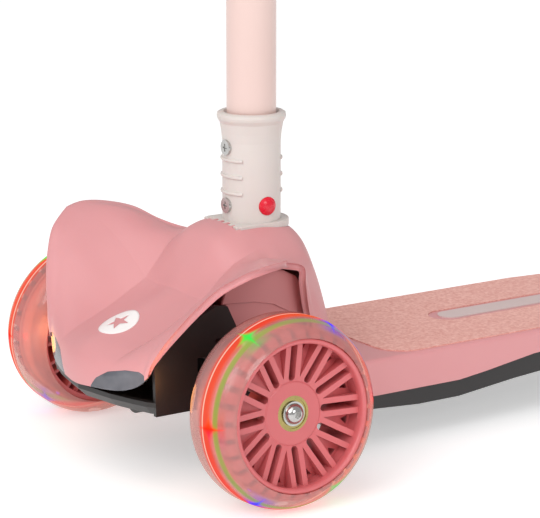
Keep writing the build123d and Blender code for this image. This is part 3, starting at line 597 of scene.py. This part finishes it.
def shell_object(name, outer, wall, lip, lip_reach, arc=5):
    """A closed shell under the outer points, with its side edges rolled to a round lip."""
    rows, cols = outer.shape[:2]
    edge = np.minimum(np.arange(cols), cols - 1 - np.arange(cols)) / lip_reach
    depth = wall + (lip - wall) * eased(1 - edge)
    inner = outer - skin_normals(outer) * depth[None, :, None]
    loops = []
    for top, bottom in zip(outer, inner):
        rounds = []
        for here, there, inside in ((top[-1], bottom[-1], top[-2]), (bottom[0], top[0], top[1])):
            middle, spoke = (here + there) / 2, (here - there) / 2
            level = (top[-1] if inside is top[-2] else top[0]) - inside
            level -= spoke * np.dot(level, spoke) / np.dot(spoke, spoke)
            level *= np.linalg.norm(spoke) / np.linalg.norm(level)
            turns = np.pi * np.arange(1, arc) / arc
            rounds.append([middle + spoke * np.cos(a) + level * np.sin(a) for a in turns])
        loops.append(np.concatenate([top, rounds[0], bottom[::-1], rounds[1]]))
    size = len(loops[0])
    vertices = np.concatenate(loops)
    faces = []
    for i in range(rows - 1):
        for j in range(size):
            k = (j + 1) % size
            faces.append((i * size + j, i * size + k, (i + 1) * size + k, (i + 1) * size + j))
    for start, flip in ((0, False), ((rows - 1) * size, True)):
        for j in range(cols - 1):
            low = 2 * cols + arc - 3 - j
            quad = [start + j, start + j + 1, start + low, start + low + 1]
            faces.append(tuple(quad[::-1]) if flip else tuple(quad))
        right = [start + cols - 1 + m for m in range(arc + 1)]
        left = [start + 2 * cols + arc - 2 + m for m in range(arc)] + [start]
        for ends in (right, left):
            faces.append(tuple(ends[::-1]) if flip else tuple(ends))
    mesh = bpy.data.meshes.new(name)
    mesh.from_pydata([tuple(v) for v in from_axle(vertices)], [], faces)
    mesh.update()
    piece = bpy.data.objects.new(name, mesh)
    bpy.context.scene.collection.objects.link(piece)
    tidy = bmesh.new()
    tidy.from_mesh(mesh)
    bmesh.ops.recalc_face_normals(tidy, faces=tidy.faces)
    tidy.to_mesh(mesh)
    tidy.free()
    return piece


outer_skin = raised_edge(fine, FLANGE_HEIGHT, FLANGE_REACH)
cover = shell_object("front_cover_shell", outer_skin, WALL, LIP, LIP_REACH)
print("cover faces", len(cover.data.polygons))

# %% [markdown]
# Openings are cut with boolean modifiers, which are then applied. The cutters are simple prisms, and they
# are deleted once the cut is made. One more helper turns a shape built face by face into a piece.

# %% Shapes and cuts


def piece_from(shape, name, sharp_from=None):
    """A piece from a bmesh, its faces turned outwards and smooth up to an angle in degrees, if given."""
    bmesh.ops.recalc_face_normals(shape, faces=shape.faces)
    mesh = bpy.data.meshes.new(name)
    shape.to_mesh(mesh)
    shape.free()
    if sharp_from:
        mesh.shade_smooth()
        mesh.set_sharp_from_angle(angle=math.radians(sharp_from))
    piece = bpy.data.objects.new(name, mesh)
    bpy.context.scene.collection.objects.link(piece)
    return piece


def prism(outline, axis, start, end):
    """A prism: an outline in mm across an axis (1 for Y, 2 for Z), from start to end along it."""
    shape = bmesh.new()
    rings = []
    for level in (start, end):
        spots = [(u, level, v) if axis == 1 else (u, v, level) for u, v in outline]
        rings.append([shape.verts.new(from_axle(p)) for p in spots])
    count = len(outline)
    for i in range(count):
        j = (i + 1) % count
        shape.faces.new((rings[0][i], rings[0][j], rings[1][j], rings[1][i]))
    shape.faces.new(rings[0])
    shape.faces.new(rings[1])
    return piece_from(shape, "cutter")


def cut(piece, cutters):
    """Cuts the cutters out of a piece for good, and deletes them."""
    for cutter in cutters:
        modifier = piece.modifiers.new("cut", "BOOLEAN")
        modifier.operation = "DIFFERENCE"
        modifier.solver = "MANIFOLD"
        modifier.object = cutter
    graph = bpy.context.evaluated_depsgraph_get()
    made = bpy.data.meshes.new_from_object(piece.evaluated_get(graph))
    piece.modifiers.clear()
    piece.data = made
    for cutter in cutters:
        bpy.data.objects.remove(cutter)


print("cutting tools: piece_from, prism, cut")

# %% [markdown]
# Two windows for the lamps and the seat for the column's foot go through the shell. A real mould leaves
# them open, and here they are cut, because the grid stays simple when it has no holes.

# %% Lamp windows and the foot's seat
WINDOW = [(17, 56), (17, 63), (22, 69), (31, 74.5), (45, 78), (56, 79), (61, 77.5), (62, 56)]
STEM = (STEM_Y - AXLE_Y) / MM
# The collar's foot in mm from the column's axis, with a tooth's first corner, pitch and width.
FOOT_SIDE, FOOT_FRONT, FOOT_BACK = 21, -21.3, 4
TEETH, FIRST_TOOTH, TOOTH_PITCH, TOOTH_WIDTH, TOOTH_DEPTH = 6, -19.7, 7, 4.4, 3
FOOT_GAP = 0.3


def foot_outline(grow):
    """The collar's foot seen from above: six teeth in front, straight sides and a round back."""
    valley = FOOT_FRONT - grow
    tip = valley - TOOTH_DEPTH
    front = []
    for k in range(TEETH):
        start = FIRST_TOOTH + TOOTH_PITCH * k
        end = start + TOOTH_WIDTH + grow
        front += [(start - grow, valley), (start - grow, tip), (end, tip), (end, valley)]
    side = FOOT_SIDE + grow
    back = [(side * math.cos(a), FOOT_BACK + side * math.sin(a)) for a in np.linspace(0, math.pi, 25)]
    corners = [(-side, valley)] + front + [(side, valley)] + back
    return [(x, y + STEM) for x, y in corners]


cutters = [prism([(sign * x, z) for x, z in WINDOW], 1, -95, -50) for sign in (1, -1)]
cutters.append(prism(foot_outline(FOOT_GAP), 2, 125, 170))
cut(cover, cutters)
cover.data.materials.clear()
cover.data.materials.append(PINK_ABS)
cover.data.shade_smooth()
cover.data.set_sharp_from_angle(angle=math.radians(40))
round_edges(cover, 0.5, 2, 50)
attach(cover, "frame")
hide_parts("front_cover")
print("cover faces after cuts", len(cover.data.polygons))

# %% [markdown]
# The column's collar stands on a foot moulded with it. Its six teeth sit in the cover's edge and keep the
# column from turning. The same outline that cut the seat makes the plate, so the two always fit, and it
# is then bored for the tube.

# %% Collar foot
FOOT_BOTTOM, FOOT_TOP = 146.4, 151.5
BORE_RADIUS = 16.15
foot = prism(foot_outline(0), 2, FOOT_BOTTOM, FOOT_TOP)
foot.name = "collar_foot"
turns = math.tau * np.arange(48) / 48
bore = [(BORE_RADIUS * math.cos(a), STEM + BORE_RADIUS * math.sin(a)) for a in turns]
cut(foot, [prism(bore, 2, 140, 160)])
round_edges(foot, 0.7, 3, 50)
foot.data.materials.clear()
foot.data.materials.append(PALE_NYLON)
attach(foot, "frame")
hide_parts("collar_base_plate")
print("foot faces:", len(foot.data.polygons))

# %% [markdown]
# The badge on the hood is a printed white disc with a star left open in it. It could be painted in the
# cover's finish, but its own thin piece gives a clean edge. It follows the hood, so each of its points is
# dropped on the cover along the disc's own axis.

# %% Badge
BADGE_CENTRE = (0, -46, 95.7)
BADGE_TILT = math.radians(21)
BADGE_RADIUS, STAR_TIP, STAR_VALLEY = 13.8, 8.6, 3.7
BADGE_SPOKES, BADGE_RINGS = 120, 6


def star_radius(angle, tip, valley):
    """Distance to the edge of a five-pointed star at an angle from its first tip."""
    fold = math.radians(36)
    part = abs((angle + fold) % (2 * fold) - fold)
    return tip * valley * math.sin(fold) / (valley * math.sin(fold - part) + tip * math.sin(part))


def badge():
    centre = Vector(from_axle(BADGE_CENTRE))
    normal = Vector((0, -math.sin(BADGE_TILT), math.cos(BADGE_TILT)))
    forward = Vector((0, math.cos(BADGE_TILT), math.sin(BADGE_TILT)))
    sideways = Vector((1, 0, 0))
    surface = BVHTree.FromObject(cover, bpy.context.evaluated_depsgraph_get())
    shape = bmesh.new()
    rings = []
    for level in range(BADGE_RINGS + 1):
        row = []
        for k in range(BADGE_SPOKES):
            angle = math.tau * k / BADGE_SPOKES
            near = star_radius(angle, STAR_TIP, STAR_VALLEY)
            reach = (near + (BADGE_RADIUS - near) * level / BADGE_RINGS) * MM
            spoke = forward * math.cos(angle) + sideways * math.sin(angle)
            start = centre + normal * 30 * MM + spoke * reach
            hit, _, _, _ = surface.ray_cast(start, -normal)
            row.append(shape.verts.new((hit or start) + normal * 0.3 * MM))
        rings.append(row)
    for low, high in zip(rings, rings[1:]):
        for k in range(BADGE_SPOKES):
            j = (k + 1) % BADGE_SPOKES
            shape.faces.new((low[k], low[j], high[j], high[k]))
    piece = piece_from(shape, "star_badge")
    thick = piece.modifiers.new("film", "SOLIDIFY")
    thick.thickness = 0.3 * MM
    piece.data.materials.append(WHITE_PRINT)
    piece.data.shade_smooth()
    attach(piece, "frame")
    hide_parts("nose_badge")
    return piece


print("badge points", len(badge().data.vertices))

# %% [markdown]
# Behind each wheel arch a moulded wall closes the space under the cover, so that no stones reach the
# column's socket. It is a plate cut to the underside of the cover, with its edges rounded. It can't be
# seen well, so a flat plate does as well as a drawn one.

# %% Arch liners
LINER = [(0, 111), (3, 118.5), (8, 125), (14, 128.5), (24, 129.5), (34, 129), (46, 127.5), (56, 122),
         (61, 114.5), (65, 103.5), (69, 91), (70, 66), (62, 66), (62, 82), (58, 94), (50, 100), (39, 106),
         (24, 109.5)]
LINER_FACES = (48.1, 49.9)


def liner(side):
    sign = 1 if side == "left" else -1
    shape = bmesh.new()
    walls = [[shape.verts.new(from_axle((sign * x, y, z))) for y, z in LINER] for x in LINER_FACES]
    for k in range(len(LINER)):
        j = (k + 1) % len(LINER)
        shape.faces.new((walls[0][k], walls[0][j], walls[1][j], walls[1][k]))
    for wall in walls:
        shape.faces.new(wall)
    piece = piece_from(shape, f"{side}_arch_liner")
    round_edges(piece, 0.5, 2, 30)
    piece.data.materials.append(INNER_ABS)
    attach(piece, "frame")
    return piece


print("liners:", [liner(side).name for side in ("left", "right")])

# %% [markdown]
# Inside each front tyre a milky ring carries six lamps. The ring is turned about the wheel's axle from a
# small section. Each lamp is turned about its own axis, with a flange, a barrel and a domed end.

# %% Turned rings and lamps
LED_SECTION = [(0, -0.6), (1.9, -0.6), (1.9, 0), (1.5, 0.05), (1.5, 0.6), (1.38, 1.05), (1.05, 1.42),
               (0.56, 1.64), (0, 1.7)]


def turned(name, section, side, count=96):
    """A ring turned about a wheel's axle from a closed (radius, distance out) section in mm."""
    shape = bmesh.new()
    centre = WHEEL_CENTRES[side]
    out, _, _ = wheel_axes(side)
    rows = []
    for k in range(count):
        spoke = wheel_spoke(side, math.tau * k / count)
        rows.append([shape.verts.new(centre + spoke * r * MM + out * s * MM) for r, s in section])
    size = len(section)
    for k in range(count):
        for j in range(size):
            a, b = rows[k], rows[(k + 1) % count]
            shape.faces.new((a[j], a[(j + 1) % size], b[(j + 1) % size], b[j]))
    return piece_from(shape, name, sharp_from=45)


def led(name, place, direction, count=24):
    """A lamp turned about its own axis from a (radius, height) section in mm."""
    shape = bmesh.new()
    across = direction.orthogonal().normalized()
    along = direction.cross(across)
    foot = shape.verts.new(place + direction * LED_SECTION[0][1] * MM)
    tip = shape.verts.new(place + direction * LED_SECTION[-1][1] * MM)
    rows = []
    for k in range(count):
        angle = math.tau * k / count
        spoke = across * math.cos(angle) + along * math.sin(angle)
        rows.append([shape.verts.new(place + spoke * r * MM + direction * h * MM)
                     for r, h in LED_SECTION[1:-1]])
    for k in range(count):
        a, b = rows[k], rows[(k + 1) % count]
        shape.faces.new((foot, b[0], a[0]))
        shape.faces.new((tip, a[-1], b[-1]))
        for j in range(len(a) - 1):
            shape.faces.new((a[j], b[j], b[j + 1], a[j + 1]))
    return piece_from(shape, name, sharp_from=45)


print("points in a lamp's section:", len(LED_SECTION))

# %% [markdown]
# The rim ends in a rounded pink lip that is flush with the tyre. Beyond it a ring of blocks grips the
# polyurethane, and they show through the tyre's side. The lip is turned, and each block is a short section
# swept along a piece of the wheel's curve. An array round the axle could place them, but a loop keeps
# them in one piece.

# %% Rim lips and grip blocks
LIP_SECTION = [(44.7, 15.0), (44.3, 17.0), (44.1, 20.6), (44.8, 21.9), (46.0, 22.3), (47.0, 21.9),
               (47.4, 20.6), (47.4, 15.0)]
BLOCK_SECTION = [(47.45, 8), (47.45, 20.4), (50.2, 19.4), (52.6, 17.4), (52.6, 8)]
BLOCKS = 30
# Half a block's width and the first block's place, as shares of the pitch between blocks.
BLOCK_HALF, FIRST_BLOCK = 0.33, 0.25


def grip_blocks(side):
    shape = bmesh.new()
    centre = WHEEL_CENTRES[side]
    out, _, _ = wheel_axes(side)
    size = len(BLOCK_SECTION)
    for k in range(BLOCKS):
        rings = []
        for turn in np.linspace(-BLOCK_HALF, BLOCK_HALF, 4):
            spoke = wheel_spoke(side, (k + FIRST_BLOCK + turn) * (math.tau / BLOCKS))
            rings.append([shape.verts.new(centre + spoke * r * MM + out * s * MM)
                          for r, s in BLOCK_SECTION])
        for low, high in zip(rings, rings[1:]):
            for j in range(size):
                i = (j + 1) % size
                shape.faces.new((low[j], low[i], high[i], high[j]))
        shape.faces.new(rings[0])
        shape.faces.new(rings[-1])
    return piece_from(shape, f"{side}_grip_blocks")


for side in ("left", "right"):
    rim_lip = turned(f"{side}_rim_lip", LIP_SECTION, side, 120)
    for piece in (rim_lip, grip_blocks(side)):
        piece.data.materials.append(PINK_NYLON)
        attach(piece, f"{side}_wheel")
print("grip blocks on each rim:", BLOCKS)

# %% [markdown]
# The carriers and lamps are set in place. Each lamp stands on its carrier and points away from the axle,
# and the colours follow each other in the same order as the glints on the tyre.

# %% Lamp carriers and lamps
CARRIER_SECTION = [(50.3, -5), (51.3, -4.8), (51.5, 0), (51.3, 4.8), (50.3, 5)]
LAMP_SEAT = 51.2

for side in ("left", "right"):
    carrier = turned(f"{side}_lamp_carrier", CARRIER_SECTION, side)
    carrier.data.materials.append(RING_FINISH)
    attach(carrier, f"{side}_wheel")
    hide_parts(f"{side}_light_ring")
    for k in range(LAMPS):
        spoke = wheel_spoke(side, math.tau * k / LAMPS)
        piece = led(f"{side}_lamp_{k + 1}", WHEEL_CENTRES[side] + spoke * LAMP_SEAT * MM, spoke)
        piece.data.materials.append(LAMP_FINISH[k % 3])
        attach(piece, f"{side}_wheel")
print("lamps in each wheel:", LAMPS)

# %% [markdown]
# The floor is a sheet of white acrylic, faintly lit from below like a light table, which keeps it white
# and its shadows soft. It runs far past the view and isn't part of the scooter.

# %% Floor
FLOOR_HALF = 20
floor_finish, tree, _ = blank_material("white_acrylic_table")
table = add(tree, "ShaderNodeBsdfPrincipled", {"Base Color": linear("#E6E6E6"), "Roughness": 0.6,
                                               "Emission Color": (1, 1, 1, 1), "Emission Strength": 0.42})
add(tree, "ShaderNodeOutputMaterial", {"Surface": table})
floor_mesh = bpy.data.meshes.new("floor")
corners = [(x * FLOOR_HALF, y * FLOOR_HALF, 0) for x, y in ((-1, -1), (1, -1), (1, 1), (-1, 1))]
floor_mesh.from_pydata(corners, [], [(0, 1, 2, 3)])
floor = bpy.data.objects.new("floor", floor_mesh)
floor_mesh.materials.append(floor_finish)
bpy.context.scene.collection.objects.link(floor)
print("floor is a stage piece")

# %% [markdown]
# Last, the view layer is brought up to date. The boxes of the finished pieces should agree with those of
# the parts they started from to well under a millimetre, because only details were added.

bpy.context.view_layer.update()
